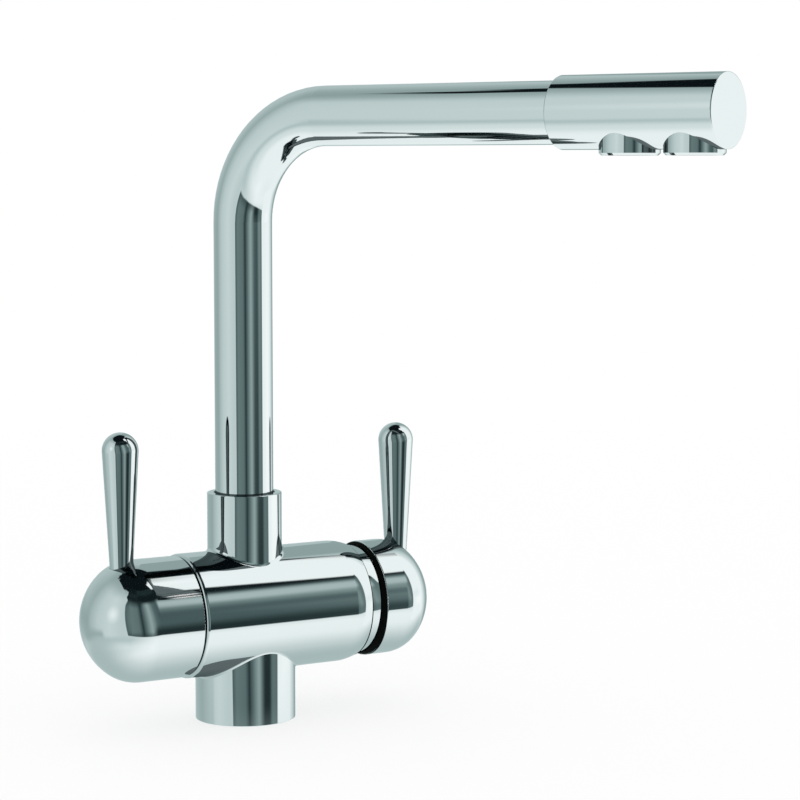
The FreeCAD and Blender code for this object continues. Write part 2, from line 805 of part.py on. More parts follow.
def spout():
    """Everything that swings with the spout."""
    spout_stem()
    stem_rings()
    bent_pipe("spout_tube", "tube_radius", TUBE_BORE, TUBE_FOOT, TUBE_END)
    hose_end = f"{DIVIDER_REACH} + divider_thickness"
    hose_foot = f"{SOCKET_FLOOR} - hose_depth"
    bent_pipe("filter_hose", "hose_radius", "hose_radius - hose_wall", hose_foot, hose_end)
    spout_head()
    outlet("outlet_mains", MAINS_REACH)
    outlet("outlet_filter", FILTER_REACH)
    aerator("aerator_mains", MAINS_REACH)
    aerator("aerator_filter", FILTER_REACH)
    outlet_washers()
    flow_divider()


# Handles


def dome(side, outwards, rim, spindle):
    """A domed barrel end: a straight skirt, a knuckle arc and a flatter crown arc, hollow at the rim,
    with a socket for its spindle, a seat for the lever and a grub screw hole underneath."""
    radius = f"{side}_dome_radius"
    skirt_end = f"{rim} + {side}_skirt"
    tip = f"{skirt_end} + {side}_crown"
    cavity_floor = f"{rim} + {side}_cavity"
    socket_end = f"{cavity_floor} + {side}_socket"
    inside = f"{radius} - dome_wall"
    socket = f"{spindle} + run_gap"
    meeting, crown_centre = crown_guess(side, skirt_end)
    points = [
        (inside, rim),
        (f"{radius} - rim_round", rim),
        corner(radius, f"{rim} + rim_round", turn=1, radius="rim_round"),
        (radius, skirt_end),
        corner(
            None, None, turn=1, radius=f"{side}_knuckle", smooth=True, guess_x=meeting.x, guess_y=meeting.y
        ),
        corner("0", tip, turn=1, centre=("0", None), guess_centre=crown_centre, smooth=True),
        ("0", socket_end),
        (socket, socket_end),
        (socket, cavity_floor),
        (inside, cavity_floor),
    ]
    body = turned(f"{side}_dome", on_barrel(outwards), points)
    lever_seat(body, side, rim)
    grub_hole = f"{cavity_floor} + {side}_socket / 2"
    drill(body, "grub_hole", "grub_radius + run_gap", radius, ("0", "0", grub_hole), Vector(-1, 0, 0))


def crown_guess(side, skirt_end):
    """Where the knuckle arc meets the crown arc, and the crown arc's centre, from the sizes as they are."""
    radius, knuckle, crown = (number(f"{side}_{size}") for size in ("dome_radius", "knuckle", "crown"))
    base = number(skirt_end)
    offset = radius - knuckle
    crown_radius = (offset**2 + crown**2 - knuckle**2) / (2 * (crown - knuckle))
    centre = Vector(0, base + crown - crown_radius, 0)
    knuckle_centre = Vector(offset, base, 0)
    outwards = (knuckle_centre - centre).normalize()
    return centre + outwards * crown_radius, centre


def lever_seat(body, side, rim):
    """A tapered seat and a stud hole for the lever, down into the top of a dome."""
    along = f"{rim} + {side}_lever_setback"
    top = f"{side}_dome_radius + free_gap - {side}_lever_seat"
    taper = "(lever_ball - lever_foot) / (lever_length - lever_ball)"
    foot = "lever_foot + run_gap"
    seat = {"Radius1": foot, "Radius2": f"{foot} + {taper} * ({top})", "Height": top}
    above = Vector(1, 0, 0)
    primitive(body, "SubtractiveCone", "lever_seat", (f"{side}_lever_seat", "0", along), above, **seat)
    hole_foot = f"{side}_lever_seat - stud_length - free_gap"
    depth = "stud_length + 2 * free_gap"
    drill(body, "stud_hole", "stud_radius + run_gap", depth, (hole_foot, "0", along), above)


def lever(side, x_sign, rim):
    """A straight-tapered lever with a round top and a screwed stud below."""
    ball_centre = "lever_length - lever_ball"
    points = [
        ("0", "-stud_length"),
        ("stud_radius", "-stud_length"),
        ("stud_radius", "0"),
        ("lever_foot", "0"),
        corner(None, None, guess_x=number("lever_ball"), guess_y=number(ball_centre)),
        corner(
            "0",
            None,
            turn=1,
            radius="lever_ball",
            centre=("0", ball_centre),
            guess_centre=Vector(0, number(ball_centre), 0),
            smooth=True,
            guess_y=number("lever_length"),
        ),
    ]
    x = f"{x_sign}({rim} + {side}_lever_setback)"
    turned(f"{side}_lever", upright(x, "0", f"barrel_height + {side}_lever_seat"), points)


def grub_screw(side, outwards, rim, spindle):
    """The screw under a dome that locks it on its spindle, with a key socket in its end."""
    body = new_body(f"{side}_grub_screw", on_barrel(outwards))
    along = f"{rim} + {side}_cavity + {side}_socket / 2"
    down = Vector(-1, 0, 0)
    sizes = {"Radius": "grub_radius", "Height": "grub_length"}
    primitive(body, "AdditiveCylinder", "shank", (f"-{spindle}", "0", along), down, **sizes)
    mouth = (f"grub_radius - {spindle} - grub_length", "0", along)
    key_socket(body, "grub_radius", "grub_radius", mouth, down)


def gaiter():
    """The black rubber lip on the right dome's rim. It closes the gap to the cover ring, and its edge
    lies just outside that ring, so that the lip passes over it when the dome tilts."""
    lip_inside = f"{COVER_RADIUS} - cover_drop + gaiter_play"
    lip_end = f"{COVER_FRONT} + free_gap"
    points = [
        (lip_inside, lip_end),
        (f"{lip_inside} + gaiter_lip", lip_end),
        ("right_dome_radius - rim_round", RIGHT_RIM),
        ("right_dome_radius - dome_wall", RIGHT_RIM),
    ]
    turned("mixer_gaiter", on_barrel(RIGHTWARD), points)


# Filter selector in the left end


def filter_selector():
    """The quarter-turn ceramic valve behind the left dome."""
    place = on_barrel(LEFTWARD)
    neck_end = "left_reach + valve_neck_proud"
    spindle_bore = "spindle_radius + run_gap"
    points = [
        ("valve_chamber", LEFT_FLOOR),
        ("cartridge_bore - run_gap", LEFT_FLOOR),
        ("cartridge_bore - run_gap", GLAND_SEAT),
        ("valve_neck_radius", GLAND_SEAT),
        ("valve_neck_radius", neck_end),
        (spindle_bore, neck_end),
        (spindle_bore, CHAMBER_TOP),
        ("valve_chamber", CHAMBER_TOP),
    ]
    turned("filter_valve_body", place, points)
    gland_nut(place)
    disc = "valve_chamber - run_gap"
    ports = (("0", f"-{PORT_OFFSET}"), ("0", PORT_OFFSET))
    ported("filter_seat_seal", place, disc, LEFT_FLOOR, FILTER_SEAL_TOP, ports)
    ported("filter_fixed_disc", place, disc, FILTER_SEAL_TOP, FILTER_FIXED_TOP, ports)
    moving = "valve_chamber - free_gap"
    selecting_disc(place, moving)
    socket_end = f"{LEFT_RIM} + left_cavity + left_socket"
    spindle = [
        ("0", FILTER_MOVING_TOP),
        (moving, FILTER_MOVING_TOP),
        (moving, DRIVE_TOP),
        ("spindle_radius", DRIVE_TOP),
        ("spindle_radius", socket_end),
        ("0", socket_end),
    ]
    turned("filter_spindle", place, spindle)


def selecting_disc(place, radius):
    """The turning disc. A slot in its face joins the middle port to one inlet, or to none when it is up."""
    disc = ring("filter_moving_disc", place, "0", radius, FILTER_FIXED_TOP, FILTER_MOVING_TOP)
    slot = disc.newObject("PartDesign::SubtractiveBox", "filter_moving_disc_slot")
    width = "2 * port_radius"
    bind(slot, Length=f"{PORT_OFFSET} + {width}", Width=width, Height="filter_disc / 2")
    bind_base(slot, "Placement", ("-port_radius", "-port_radius", FILTER_FIXED_TOP))


def gland_nut(place):
    """The ring nut that clamps the filter valve in the barrel, with two spanner holes."""
    outer = "cartridge_bore - run_gap"
    body = ring("filter_gland_nut", place, "valve_neck_radius + run_gap", outer, GLAND_SEAT, GLAND_TOP)
    spanner_hole(body, "(valve_neck_radius + cartridge_bore) / 2", GLAND_TOP, "gland_thickness")


def spanner_hole(body, reach, top, thickness):
    """Two blind spanner holes in the outer face of a ring nut."""
    half = f"{thickness} / 2"
    at = (reach, "0", f"{top} - {half}")
    hole = drill(body, "spanner_hole", "stud_radius / 2", f"{half} + free_gap", at, UP)
    pattern(body, hole, 2)


def ported(label, place, radius, bottom, top, inlets):
    """A disc or a seal with an outlet port in its middle and inlet ports, given as up and across."""
    body = ring(label, place, "0", radius, bottom, top)
    depth = f"{top} - {bottom} + 2 * free_gap"
    for index, (up, across) in enumerate((("0", "0"), *inlets)):
        drill(body, f"port_{index}", "port_radius", depth, (up, across, f"{bottom} - free_gap"), UP)


# Mixer in the right end


def mixer_fixed():
    """The fixed pieces of the mixer: seal, fixed disc, housing, clamp nut and cover ring."""
    place = on_barrel(RIGHTWARD)
    inside = f"{HOUSING_BORE} - run_gap"
    ports = ((PORT_OFFSET, f"-{PORT_OFFSET}"), (PORT_OFFSET, PORT_OFFSET))
    ported("mixer_base_seal", place, inside, RIGHT_FLOOR, MIXER_SEAL_TOP, ports)
    ported("mixer_fixed_disc", place, inside, MIXER_SEAL_TOP, MIXER_FIXED_TOP, ports)
    outer = "cartridge_bore - run_gap"
    housing = [
        (HOUSING_BORE, RIGHT_FLOOR),
        (outer, RIGHT_FLOOR),
        (outer, HOUSING_TOP),
        ("housing_mouth", HOUSING_TOP),
        ("housing_mouth", HOUSING_SHOULDER),
        (HOUSING_BORE, HOUSING_SHOULDER),
    ]
    turned("mixer_housing", place, housing)
    clamp = ring("mixer_clamp_nut", place, "mixer_opening", outer, HOUSING_TOP, CLAMP_TOP)
    spanner_hole(clamp, "(mixer_opening + cartridge_bore) / 2", CLAMP_TOP, "clamp_thickness")
    cover_ring(place, outer)


def cover_ring(place, skirt):
    """The chromed ring below the shoulder, rounded towards the dome, with a skirt inside the bore."""
    points = [
        ("mixer_opening", CLAMP_TOP),
        (skirt, CLAMP_TOP),
        (skirt, COVER_BACK),
        (COVER_RADIUS, COVER_BACK),
        corner(
            f"{COVER_RADIUS} - cover_drop",
            COVER_FRONT,
            turn=1,
            radius="(cover_width * cover_width + cover_drop * cover_drop) / (2 * cover_drop)",
        ),
        ("mixer_opening", COVER_FRONT),
    ]
    turned("mixer_cover_ring", place, points)


def mixer_rotor():
    """The carrier that turns for temperature, slotted for the stem, and its pivot pin."""
    place = on_barrel(RIGHTWARD)
    carrier = ring("mixer_carrier", place, "0", f"{HOUSING_BORE} - run_gap", CARRIER_FOOT, CARRIER_TOP)
    slot = carrier.newObject("PartDesign::SubtractiveBox", "mixer_carrier_slot")
    width = "2 * (mixer_stem_radius + free_gap)"
    bind(slot, Length="carrier_slot", Width=width, Height="carrier_front + carrier_back + 2 * free_gap")
    low_corner = ("-carrier_slot / 2", f"-({width}) / 2", f"{CARRIER_FOOT} - free_gap")
    bind_base(slot, "Placement", low_corner)
    across = Vector(0, 1, 0)
    hole = ("0", "-pivot_pin_length / 2 - free_gap", PIVOT)
    drill(carrier, "pin_hole", "pivot_pin_radius", "pivot_pin_length + 2 * free_gap", hole, across)
    pin = new_body("mixer_pivot_pin", place)
    pin_sizes = {"Radius": "pivot_pin_radius", "Height": "pivot_pin_length"}
    primitive(pin, "AdditiveCylinder", "shank", ("0", "-pivot_pin_length / 2", PIVOT), across, **pin_sizes)


def mixer_stem():
    """The stem that the right dome is fixed on. It rocks on the pivot pin, and its ball moves the slider."""
    ball_centre = f"{PIVOT} - ball_arm"
    knuckle_foot = f"{PIVOT} - mixer_stem_radius"
    socket_end = f"{RIGHT_RIM} + right_cavity + right_socket"
    neck_rise = "sqrt(ball_radius * ball_radius - mixer_neck_radius * mixer_neck_radius)"
    points = [
        ("0", f"{ball_centre} - ball_radius"),
        corner(
            "mixer_neck_radius",
            None,
            turn=1,
            centre=("0", ball_centre),
            guess_centre=Vector(0, number(ball_centre), 0),
            guess_y=number(f"{ball_centre} + {neck_rise}"),
        ),
        ("mixer_neck_radius", knuckle_foot),
        ("mixer_stem_radius", knuckle_foot),
        ("mixer_stem_radius", socket_end),
        ("0", socket_end),
    ]
    body = turned("mixer_stem", on_barrel(RIGHTWARD), points)
    hole = ("0", "-mixer_stem_radius - free_gap", PIVOT)
    depth = "2 * (mixer_stem_radius + free_gap)"
    drill(body, "pin_hole", "pivot_pin_radius + run_gap", depth, hole, Vector(0, 1, 0))


def mixer_slider():
    """The slider that the stem's ball pushes up, and the ceramic disc that it takes over the inlet ports."""
    place = on_barrel(RIGHTWARD)
    slider = ring("mixer_slider", place, "0", "slider_radius", MIXER_MOVING_TOP, SLIDER_TOP)
    depth = f"{SLIDER_TOP} - ({PIVOT} - ball_arm - ball_radius - free_gap)"
    floor = f"{SLIDER_TOP} - ({depth})"
    drill(slider, "ball_socket", "ball_radius + free_gap", f"{depth} + free_gap", ("0", "0", floor), UP)
    disc = ring("mixer_moving_disc", place, "0", "slider_radius", MIXER_FIXED_TOP, MIXER_MOVING_TOP)
    drill(disc, "mixing_hollow", "mixing_hollow", "mixer_disc / 2", ("0", "0", MIXER_FIXED_TOP), UP)


# Checks and output


def check():
    """Stops if any object failed or any node's shape is missing, broken or not closed."""
    for thing in doc.Objects:
        if {"Invalid", "Error"} & set(thing.State):
            raise RuntimeError(f"{thing.Label} failed: {thing.State}")
    for node in nodes:
        shape = node.Shape
        if shape.isNull() or not shape.isValid() or not shape.Solids:
            raise RuntimeError(f"{node.Label} has no sound solid")


def write():
    """Writes each node's solids to its own file."""
    os.makedirs("parts", exist_ok=True)
    for node in nodes:
        node.Shape.exportStep(os.path.join("parts", f"{node.Label}.step"))
        box = node.Shape.BoundBox
        low = (round(box.XMin, 2), round(box.YMin, 2), round(box.ZMin, 2))
        high = (round(box.XMax, 2), round(box.YMax, 2), round(box.ZMax, 2))
        print(node.Label, len(node.Shape.Solids), round(node.Shape.Volume), low, high)


def build():
    fill_sheet()
    main_body()
    base_seal()
    spout_bush()
    spout_stop_screw()
    spout()
    dome("left", LEFTWARD, LEFT_RIM, "spindle_radius")
    lever("left", "-", LEFT_RIM)
    grub_screw("left", LEFTWARD, LEFT_RIM, "spindle_radius")
    filter_selector()
    dome("right", RIGHTWARD, RIGHT_RIM, "mixer_stem_radius")
    lever("right", "", RIGHT_RIM)
    grub_screw("right", RIGHTWARD, RIGHT_RIM, "mixer_stem_radius")
    gaiter()
    mixer_fixed()
    mixer_rotor()
    mixer_stem()
    mixer_slider()
    doc.recompute()
    check()
    write()


build()
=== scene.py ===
"""A three-way kitchen tap with a swivelling spout, two outlets and two lever handles, in a plain studio."""

import json
import math

import bmesh
import bpy
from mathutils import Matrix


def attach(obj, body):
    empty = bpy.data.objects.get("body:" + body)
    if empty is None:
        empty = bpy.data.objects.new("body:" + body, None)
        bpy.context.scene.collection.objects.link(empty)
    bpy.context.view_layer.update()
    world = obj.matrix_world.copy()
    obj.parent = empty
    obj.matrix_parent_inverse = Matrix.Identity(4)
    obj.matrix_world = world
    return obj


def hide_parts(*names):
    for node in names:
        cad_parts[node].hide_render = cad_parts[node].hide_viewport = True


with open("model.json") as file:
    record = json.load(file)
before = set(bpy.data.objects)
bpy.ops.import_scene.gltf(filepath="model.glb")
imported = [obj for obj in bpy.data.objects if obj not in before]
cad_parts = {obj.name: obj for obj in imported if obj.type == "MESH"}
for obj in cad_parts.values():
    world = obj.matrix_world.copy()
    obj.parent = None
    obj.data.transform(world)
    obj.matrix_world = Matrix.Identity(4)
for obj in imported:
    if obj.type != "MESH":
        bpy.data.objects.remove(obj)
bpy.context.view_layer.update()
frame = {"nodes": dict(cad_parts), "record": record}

NODES = frame["nodes"]
RECORD = frame["record"]

# The photograph's camera: metres, radians and millimetres
CAMERA_PLACE = (-0.52971, -0.99421, 0.24822)
CAMERA_YAW = -0.5516
CAMERA_DIP = 0.0927
CAMERA_LENS = 113.62
SENSOR_WIDTH = 36.0

# Level directions as the photograph's camera has them, to its right and from the tap towards it, and up
RIGHT = (math.cos(CAMERA_YAW), math.sin(CAMERA_YAW), 0.0)
TOWARD = (math.sin(CAMERA_YAW), -math.cos(CAMERA_YAW), 0.0)
UP = (0.0, 0.0, 1.0)

# Polished chrome reflects this share of the light that meets it squarely
CHROME_SHARE = 0.885

# The floor's disc: its size, its colour, how far it lets the white background through in its middle, and
# the shares of its radius between which it turns clear
FLOOR_RADIUS = 1.6
FLOOR_WHITE = 0.98
FLOOR_CLEAR = 0.75
FLOOR_FADE = (0.25, 0.95)

# The painted shade under the barrel: a dark card, seen only in the chrome, that stands in for the shadow
# the tap casts on the worktop. Its middle, its reach along and across the barrel, the tone that chrome
# shows of it, the share of its reach where it starts to fade, and the slants and distances that it comes in
# between
SHADE_PLACE = (0.035, 0.038, 0.0003)
SHADE_REACH = (0.29, 0.105)
SHADE_TONE = 177
SHADE_CORE = 0.45
SHADE_SLANT = (0.86, 0.5)
SHADE_NEAR = (0.18, 0.10)

# Corners of the two discs
DISC_CORNERS = 96

# Light has met one mirror where its glossy depth is less than this, and more mirrors where it is more
ONE_MIRROR = 1.5

# Sockets of a node that mixes colours: first colour, second colour, result
MIX_FIRST = 6
MIX_SECOND = 7
MIX_RESULT = 2


# Node helpers


def add(tree, kind, **settings):
    """A new node whose properties are set by name."""
    node = tree.nodes.new(kind)
    for name, value in settings.items():
        setattr(node, name, value)
    return node


def feed(tree, socket, value):
    """Sets a socket to a value, or links it where the value is another node's output."""
    if isinstance(value, bpy.types.NodeSocket):
        tree.links.new(value, socket)
    else:
        socket.default_value = value


def calc(tree, operation, first, second=None):
    """One step of arithmetic."""
    node = add(tree, "ShaderNodeMath", operation=operation)
    feed(tree, node.inputs[0], first)
    if second is not None:
        feed(tree, node.inputs[1], second)
    return node.outputs[0]


def mix(tree, share, first, second, blend="MIX"):
    """A colour that goes by a share from the first to the second, or to what a blend makes of both."""
    node = add(tree, "ShaderNodeMix", data_type="RGBA", blend_type=blend)
    feed(tree, node.inputs[0], share)
    feed(tree, node.inputs[MIX_FIRST], first)
    feed(tree, node.inputs[MIX_SECOND], second)
    return node.outputs[MIX_RESULT]


def rise(tree, value, start, end):
    """A smooth step from 0 at start to 1 at end."""
    node = add(tree, "ShaderNodeMapRange", interpolation_type="SMOOTHSTEP")
    feed(tree, node.inputs[0], value)
    node.inputs[1].default_value = start
    node.inputs[2].default_value = end
    return node.outputs[0]


def span(tree, value, low, high, soft):
    """1 between low and high, with soft edges."""
    up = rise(tree, value, low - soft, low + soft)
    down = rise(tree, value, high + soft, high - soft)
    return calc(tree, "MULTIPLY", up, down)


def between(tree, value, low, high):
    """The value 0 to 1 spread between low and high."""
    node = add(tree, "ShaderNodeMapRange")
    feed(tree, node.inputs[0], value)
    node.inputs[3].default_value = low
    node.inputs[4].default_value = high
    return node.outputs[0]


# The studio that the chrome reflects

# Display tones go from 0 to this
WHITE_TONE = 255

# The photograph's greys: how green the middle ones are and how fast that fades to black and white, how blue
# the dark ones are, and the level below which they are
GREEN_TINT = 0.053
GREEN_FADE = 0.6
BLUE_TINT = 0.03
BLUE_BELOW = 0.45


def linear(value):
    """A display value, 0 to 1, as an amount of light, by the sRGB curve."""
    if value <= 0.04045:
        return value / 12.92
    return ((value + 0.055) / 1.055) ** 2.4


def card_colour(tone):
    """The light of a card that chrome shows at a display tone: greys a little green, darks also blue."""
    level = tone / WHITE_TONE
    green = GREEN_TINT * (4 * level * (1 - level)) ** GREEN_FADE
    blue = BLUE_TINT * max(BLUE_BELOW - level, 0.0)
    shown = (level - green, level + 0.5 * green, level + 0.5 * green + blue)
    return tuple(linear(max(part, 0.0)) / CHROME_SHARE for part in shown) + (1.0,)


# Azimuths go this far either way, in degrees: 0 is towards the photograph's camera, plus is to its right
HALF_TURN = 180

# Tones by azimuth: walls, floor far off, floor nearer, and the screen's slats
WALL = (
    (-180, 180), (-148, 181), (-114, 162), (-85, 194), (-58, 204),
    (-34, 194), (126, 236), (147, 192), (157, 152),
)
FLOOR_FAR = ((-180, 230), (-150, 215), (-112, 178), (-20, 187), (45, 236), (95, 236))
FLOOR_NEAR = ((-180, 236), (-112, 212), (-22, 219), (40, 240), (80, 232), (155, 240))
SLATS = (
    (-27, 85), (-18, 112), (2, 104), (11, 45), (20, 102),
    (33, 154), (48, 94), (60, 80), (70, 134), (80, 106),
)

# Elevations in degrees: where the floor's tones hold, where the walls start and how softly, and their top
FAR_DOWN = -22
NEAR_DOWN = -40
WALL_FOOT = -21
WALL_FOOT_SOFT = 5
WALL_TOP = 57

# The bright floor round the tap: its tone, and the elevations it comes in between
BRIGHT_TONE = 236
BRIGHT_DOWN = (-40, -58)

# The dark screen: its middle and side edges as azimuths, its lean, the elevation of its foot, how fast the
# foot rises to its corners, the elevation of its top, how soft its edges are, and the elevations between
# which the slats end and the tone above them
SCREEN_MIDDLE = 21
SCREEN_LEFT = -27.5
SCREEN_RIGHT = 83
SCREEN_LEAN = 0.2
SCREEN_FOOT = -20.7
FOOT_CURVE = 0.0016
SCREEN_TOP = 66
SCREEN_SOFT = 1.0
SCREEN_TOP_SOFT = 1.5
SLATS_END = (36, 45)
SLATS_END_TONE = 26

# Cards over those: azimuth from and to, elevation from and to, softness, tone, strength
WALL_CARDS = {
    "shaded top of the wall": (-200, -34, 47, 70, 12, 146, 0.8),
    "shaded corner of the wall": (-152, -112, -12, 2, 8, 154, 0.8),
    "shaded foot of the wall": (-128, -74, -21, -12, 5, 160, 0.9),
    "pale foot of the right wall": (138, 168, -30, -22, 3, 232, 0.9),
    "ceiling": (-200, 200, WALL_TOP, 100, 1.0, 15, 1.0),
    "low edge of the ceiling": (-124, -109, 54.7, 60, 1.0, 15, 1.0),
    "high edge of the ceiling": (-165, -136, 54, 58.3, 1.0, 150, 1.0),
}
SCREEN_CARDS = {
    "foot of the screen": (-40, 44, -30, -15, 5, 44, 0.6),
    "dark right foot of the screen": (44, 66, -30, -5, 8, 36, 0.95),
    "low right corner of the screen": (67, SCREEN_RIGHT, -30, -4, 5, 98, 0.8),
    "shaded left top of the slats": (-40, 11, 34, 50, 5, 40, 0.6),
    "dark gap on the screen": (52, 66, 11, 20, 4, 76, 0.7),
    "pale strip on the screen": (60, 74, 27, 38, 4, 180, 0.9),
    "head of the screen": (-60, SCREEN_RIGHT, 45, 70, 2.5, 23, 1.0),
    "rim of the screen": (-6, 66, 55.5, 68, 3.0, 37, 1.0),
    "left of the screen's rim": (-32, -3, 48, 57, 3.0, 34, 1.0),
}
BOX_CARDS = {
    "soft box": (84.5, 128, -34, 65, 2.5, 238, 1.0),
    "right fade of the soft box": (126, 145, 58, 64, 2.0, 238, 1.0),
    "leaning edge of the soft box": (76.6, 92, 45, 62, 1.5, 238, 1.0),
    "high corner of the soft box": (69, 102, 61, 73, 2.0, 242, 1.0),
    "shade across the soft box": (86, 108, 0, 7, 4, 228, 0.8),
    "middle of the soft box": (97, 120, -10, -3, 4, 246, 0.9),
}

# A lamp's round glow on the left wall: azimuth, elevation, radius, tone
GLOW = (-54, 14, 17, 230)

# How much of the studio's red, green and blue shows where the tap mirrors itself
PASSED_ON = (0.14, 0.165, 0.17, 1.0)


def profile(tree, azimuth, stops):
    """A colour that runs round the studio through the stops."""
    turn = add(tree, "ShaderNodeMapRange")
    feed(tree, turn.inputs[0], azimuth)
    turn.inputs[1].default_value = -HALF_TURN
    turn.inputs[2].default_value = HALF_TURN
    ramp = add(tree, "ShaderNodeValToRGB")
    feed(tree, ramp.inputs[0], turn.outputs[0])
    elements = ramp.color_ramp.elements
    elements.remove(elements[1])
    for index, (angle, tone) in enumerate(stops):
        place = (angle + HALF_TURN) / (2 * HALF_TURN)
        stop = elements[0] if index == 0 else elements.new(place)
        stop.position = place
        stop.color = card_colour(tone)
    return ramp.outputs[0]


def along(tree, direction, axis):
    """How far a direction goes along an axis."""
    node = add(tree, "ShaderNodeVectorMath", operation="DOT_PRODUCT")
    feed(tree, node.inputs[0], direction)
    node.inputs[1].default_value = axis
    return node.outputs["Value"]


class Look:
    """A direction in the studio as azimuth and elevation, for the cards to be placed by."""

    def __init__(self, tree):
        self.tree = tree
        direction = add(tree, "ShaderNodeTexCoord").outputs["Generated"]
        turn = calc(tree, "ARCTAN2", along(tree, direction, RIGHT), along(tree, direction, TOWARD))
        self.azimuth = calc(tree, "DEGREES", turn)
        height = along(tree, direction, UP)
        self.elevation = calc(tree, "DEGREES", calc(tree, "ARCSINE", height))

    def card(self, colour, left, right, low, high, soft, tone, strength):
        """Lays a soft-edged card over a colour."""
        tree = self.tree
        wide = span(tree, self.azimuth, left, right, soft)
        share = calc(tree, "MULTIPLY", wide, span(tree, self.elevation, low, high, soft))
        return mix(tree, calc(tree, "MULTIPLY", share, strength), colour, card_colour(tone))


def studio_floor_colour(look):
    """A floor that pales towards the tap."""
    tree = look.tree
    far = profile(tree, look.azimuth, FLOOR_FAR)
    near = profile(tree, look.azimuth, FLOOR_NEAR)
    floor = mix(tree, rise(tree, look.elevation, FAR_DOWN, NEAR_DOWN), far, near)
    return mix(tree, rise(tree, look.elevation, *BRIGHT_DOWN), floor, card_colour(BRIGHT_TONE))


def walls_and_floor(look):
    """Grey walls over the floor, with a glow on the left wall and a dark ceiling."""
    tree = look.tree
    above = rise(tree, look.elevation, WALL_FOOT - WALL_FOOT_SOFT, WALL_FOOT + WALL_FOOT_SOFT)
    colour = mix(tree, above, studio_floor_colour(look), profile(tree, look.azimuth, WALL))
    place, lift, radius, tone = GLOW
    aside = calc(tree, "SUBTRACT", look.azimuth, place)
    up = calc(tree, "SUBTRACT", look.elevation, lift)
    square = calc(tree, "ADD", calc(tree, "POWER", aside, 2.0), calc(tree, "POWER", up, 2.0))
    apart = calc(tree, "SQRT", square)
    colour = mix(tree, rise(tree, apart, radius, 0.0), colour, card_colour(tone))
    for card in WALL_CARDS.values():
        colour = look.card(colour, *card)
    return colour


def slatted_screen(look):
    """How far the dark screen covers each direction, and its colours: leaning slats under a black head."""
    tree = look.tree
    lean = calc(tree, "ADD", look.azimuth, calc(tree, "MULTIPLY", look.elevation, SCREEN_LEAN))
    ended = rise(tree, look.elevation, *SLATS_END)
    colour = mix(tree, ended, profile(tree, lean, SLATS), card_colour(SLATS_END_TONE))
    for card in SCREEN_CARDS.values():
        colour = look.card(colour, *card)
    aside = calc(tree, "SUBTRACT", look.azimuth, SCREEN_MIDDLE)
    corners = calc(tree, "MULTIPLY", calc(tree, "POWER", aside, 2.0), FOOT_CURVE)
    foot = calc(tree, "SUBTRACT", look.elevation, corners)
    share = rise(tree, lean, SCREEN_LEFT - SCREEN_SOFT, SCREEN_LEFT + SCREEN_SOFT)
    for edge in (
        rise(tree, look.azimuth, SCREEN_RIGHT + SCREEN_SOFT, SCREEN_RIGHT - SCREEN_SOFT),
        rise(tree, foot, SCREEN_FOOT - SCREEN_SOFT, SCREEN_FOOT + SCREEN_SOFT),
        rise(tree, look.elevation, SCREEN_TOP + SCREEN_TOP_SOFT, SCREEN_TOP - SCREEN_TOP_SOFT),
    ):
        share = calc(tree, "MULTIPLY", share, edge)
    return share, colour


def studio_colour(tree):
    """What a mirror sees in each direction: walls, floor, ceiling, a slatted dark screen and a soft box."""
    look = Look(tree)
    share, screen = slatted_screen(look)
    colour = mix(tree, share, walls_and_floor(look), screen)
    for card in BOX_CARDS.values():
        colour = look.card(colour, *card)
    return colour


def studio_world():
    """White to the camera, even white light on dull surfaces, and the studio in what is polished."""
    world = bpy.data.worlds.new("studio")
    bpy.context.scene.world = world
    world.use_nodes = True
    tree = world.node_tree
    path = add(tree, "ShaderNodeLightPath")
    mirror = calc(tree, "MAXIMUM", path.outputs["Is Glossy Ray"], path.outputs["Is Transmission Ray"])
    again = calc(tree, "GREATER_THAN", path.outputs["Glossy Depth"], ONE_MIRROR)
    mirrored = mix(tree, again, studio_colour(tree), PASSED_ON, "MULTIPLY")
    white = (1.0, 1.0, 1.0, 1.0)
    background = tree.nodes["Background"]
    feed(tree, background.inputs["Color"], mix(tree, mirror, white, mirrored))


def disc(name, radius):
    """A flat disc on the worktop."""
    bpy.ops.mesh.primitive_circle_add(vertices=DISC_CORNERS, radius=radius, fill_type="NGON")
    made = bpy.context.object
    made.name = name
    return made


def empty_tree(owner, name):
    """The node tree, still empty, of an object's new material."""
    made = bpy.data.materials.new(name)
    made.use_nodes = True
    made.node_tree.nodes.clear()
    owner.data.materials.append(made)
    return made.node_tree


def from_middle(tree):
    """How far a place on an object is from the object's middle."""
    length = add(tree, "ShaderNodeVectorMath", operation="LENGTH")
    feed(tree, length.inputs[0], add(tree, "ShaderNodeTexCoord").outputs["Object"])
    return length.outputs["Value"]


def show(tree, share, first, second):
    """Gives a material a surface that goes from the first shader to the second by a share."""
    blend = add(tree, "ShaderNodeMixShader")
    feed(tree, blend.inputs[0], share)
    feed(tree, blend.inputs[1], first.outputs[0])
    feed(tree, blend.inputs[2], second.outputs[0])
    output = add(tree, "ShaderNodeOutputMaterial")
    feed(tree, output.inputs["Surface"], blend.outputs[0])


def studio_floor():
    """A pale disc that takes the contact shadow and fades into the white background."""
    floor = disc("floor", FLOOR_RADIUS)
    floor.visible_glossy = False
    tree = empty_tree(floor, "pale_floor")
    pale = add(tree, "ShaderNodeBsdfDiffuse")
    pale.inputs["Color"].default_value = (FLOOR_WHITE, FLOOR_WHITE, FLOOR_WHITE, 1.0)
    clear = add(tree, "ShaderNodeBsdfTransparent")
    start, end = FLOOR_FADE
    outwards = rise(tree, from_middle(tree), start * FLOOR_RADIUS, end * FLOOR_RADIUS)
    show(tree, between(tree, outwards, FLOOR_CLEAR, 1.0), pale, clear)


